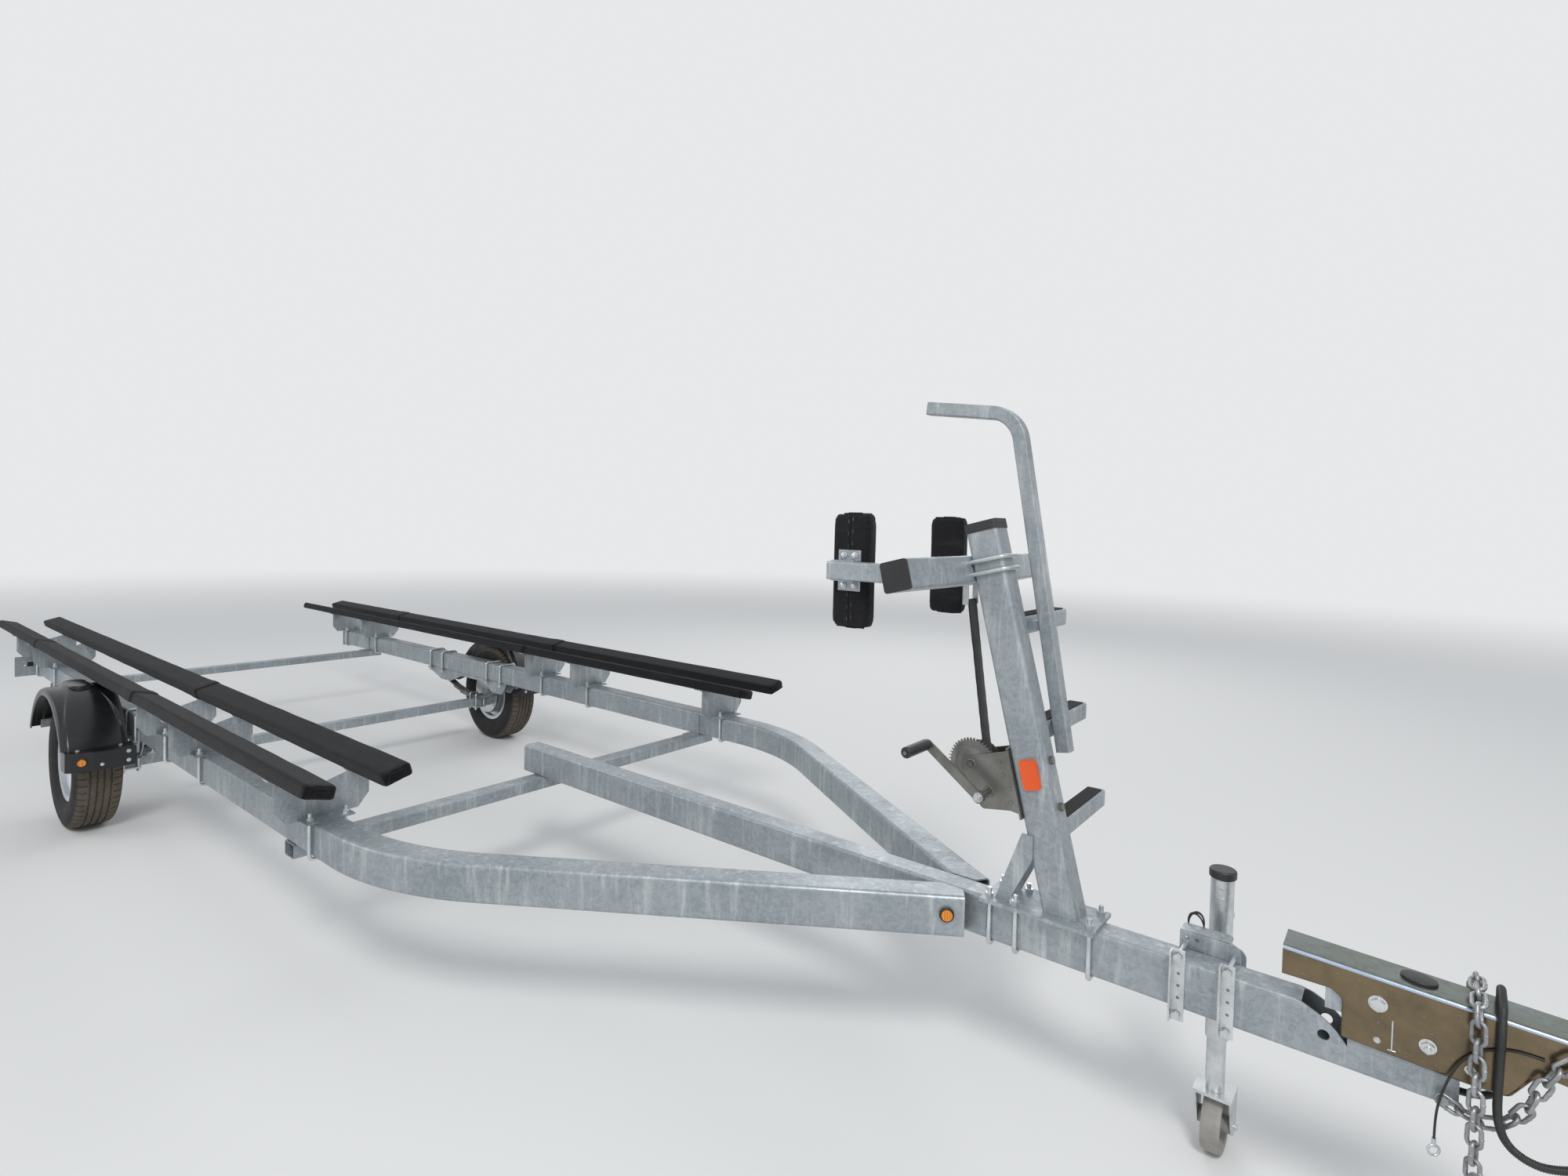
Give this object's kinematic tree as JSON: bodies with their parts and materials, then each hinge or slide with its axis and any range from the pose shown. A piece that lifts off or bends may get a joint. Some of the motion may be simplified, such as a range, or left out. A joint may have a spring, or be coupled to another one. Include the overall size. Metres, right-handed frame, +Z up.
{
  "type": "boat trailer",
  "caption": "Galvanised single-axle bunk trailer for a pontoon boat: bent side rails, carpeted bunks, moulded fenders, leaning winch post with rungs, swivel jack, surge coupler",
  "frame": {"origin": "on the ground under the middle of the trailer's overall box", "axes": "+X forward toward the coupler, +Y toward the left wheel, +Z up"},
  "size_m": [7.95, 2.536, 1.9229],
  "materials": {
    "galvanised": "hot-dip galvanised, satin with spangle",
    "zinc": "zinc plated",
    "zinc_bright": "bright zinc plated",
    "lamp_red": "glossy",
    "lamp_amber": "glossy",
    "lamp_orange": "glossy reflector",
    "chain_steel": "dull plated",
    "sleeve": "ribbed sleeve",
    "cable_black": "plastic coated cable",
    "carpet": "matt pile",
    "spring_steel": "satin",
    "tyre": "matt",
    "rim": "galvanised",
    "hub_iron": "galvanised",
    "black_moulding": "satin",
    "black_cap": "matt",
    "grip": "gritty",
    "webbing": "woven",
    "caster_plastic": "matt"
  },
  "bodies": {
    "frame": {"axle": "galvanised", "axle_clamps": "zinc", "backing_plates": "zinc", "bow_arms": "galvanised", "bow_crossbar": "galvanised", "bow_pads": "carpet", "bracket_u_bolts": "zinc", "breakaway_cable": "cable_black", "bunk_brackets": "galvanised", "bunks": "carpet", "cable_hook": "zinc", "cross_members": "galvanised", "fender_arms": "galvanised", "fender_steps": "black_moulding", "fenders": "black_moulding", "handrail": "galvanised", "hanger_u_bolts": "zinc", "jack_bracket": "galvanised", "jack_clamps": "zinc", "ladder_rungs": "galvanised", "lamp_plates": "galvanised", "leaf_springs": "spring_steel", "loom_plug": "black_cap", "marker_lamps": "lamp_amber", "post_base": "galvanised", "post_u_bolts": "zinc", "reflectors": "lamp_orange", "rung_treads": "grip", "safety_chains": "chain_steel", "side_rails": "galvanised", "spring_hangers": "galvanised", "spring_pins": "zinc", "strap_hook": "zinc", "surge_frame": "galvanised", "tail_lamps": "lamp_red", "tongue": "galvanised", "tube_caps": "black_cap", "winch_frame": "zinc", "winch_post": "galvanised", "winch_strap": "webbing", "wiring_loom": "sleeve"},
    "wheel_left": {"tyre_left": "tyre", "rim_left": "rim", "hub_left": "hub_iron"},
    "wheel_right": {"tyre_right": "tyre", "rim_right": "rim", "hub_right": "hub_iron"},
    "winch_drum": {"winch_drum": "zinc", "strap_coil": "webbing"},
    "winch_crank": {"winch_crank": "zinc", "crank_grip": "black_cap"},
    "jack": {"jack_tube": "zinc", "jack_cap": "black_cap"},
    "jack_leg": {"jack_leg": "zinc"},
    "jack_crank": {"jack_crank": "zinc"},
    "caster_fork": {"caster_fork": "zinc"},
    "caster_wheel": {"caster_wheel": "caster_plastic"},
    "coupler": {"coupler": "zinc_bright", "coupler_bolts": "zinc"},
    "coupler_latch": {"coupler_latch": "zinc"}
  },
  "joints": [
    {"name": "wheel_left_spin", "type": "hinge", "parent": "frame", "child": "wheel_left", "pos_m": [-1.475, 1.12, 0.313], "axis": [0, 1, 0], "continuous": true},
    {"name": "wheel_right_spin", "type": "hinge", "parent": "frame", "child": "wheel_right", "pos_m": [-1.475, -1.12, 0.313], "axis": [0, 1, 0], "continuous": true},
    {"name": "winch_drum_spin", "type": "hinge", "parent": "frame", "child": "winch_drum", "pos_m": [2.66012, 0, 0.91531], "axis": [0, 1, 0], "continuous": true},
    {"name": "winch_crank_spin", "type": "hinge", "parent": "frame", "child": "winch_crank", "pos_m": [2.71215, 0, 0.85128], "axis": [0, 1, 0], "continuous": true},
    {"name": "jack_swing", "type": "hinge", "parent": "frame", "child": "jack", "pos_m": [3.237, 0.176, 0.5065], "axis": [0, 1, 0], "range_deg": [0, 90]},
    {"name": "jack_leg_slide", "type": "slide", "parent": "jack", "child": "jack_leg", "axis": [0, 0, 1], "range_m": [-0.14, 0.125]},
    {"name": "jack_crank_spin", "type": "hinge", "parent": "jack", "child": "jack_crank", "pos_m": [3.237, 0.206, 0.6605], "axis": [0, 1, 0], "continuous": true},
    {"name": "caster_swivel", "type": "hinge", "parent": "jack_leg", "child": "caster_fork", "pos_m": [3.237, 0.176, 0.165], "axis": [0, 0, 1], "continuous": true},
    {"name": "caster_spin", "type": "hinge", "parent": "caster_fork", "child": "caster_wheel", "pos_m": [3.237, 0.2, 0.075], "axis": [1, 0, 0], "continuous": true},
    {"name": "coupler_slide", "type": "slide", "parent": "frame", "child": "coupler", "axis": [1, 0, 0], "range_m": [-0.06, 0]},
    {"name": "coupler_latch_lift", "type": "hinge", "parent": "coupler", "child": "coupler_latch", "pos_m": [3.872, 0, 0.698], "axis": [0, 1, 0], "range_deg": [-75, 0]}
  ],
  "couplings": [
    {"joint": "winch_crank_spin", "follows": "winch_drum_spin", "ratio": -4}
  ]
}
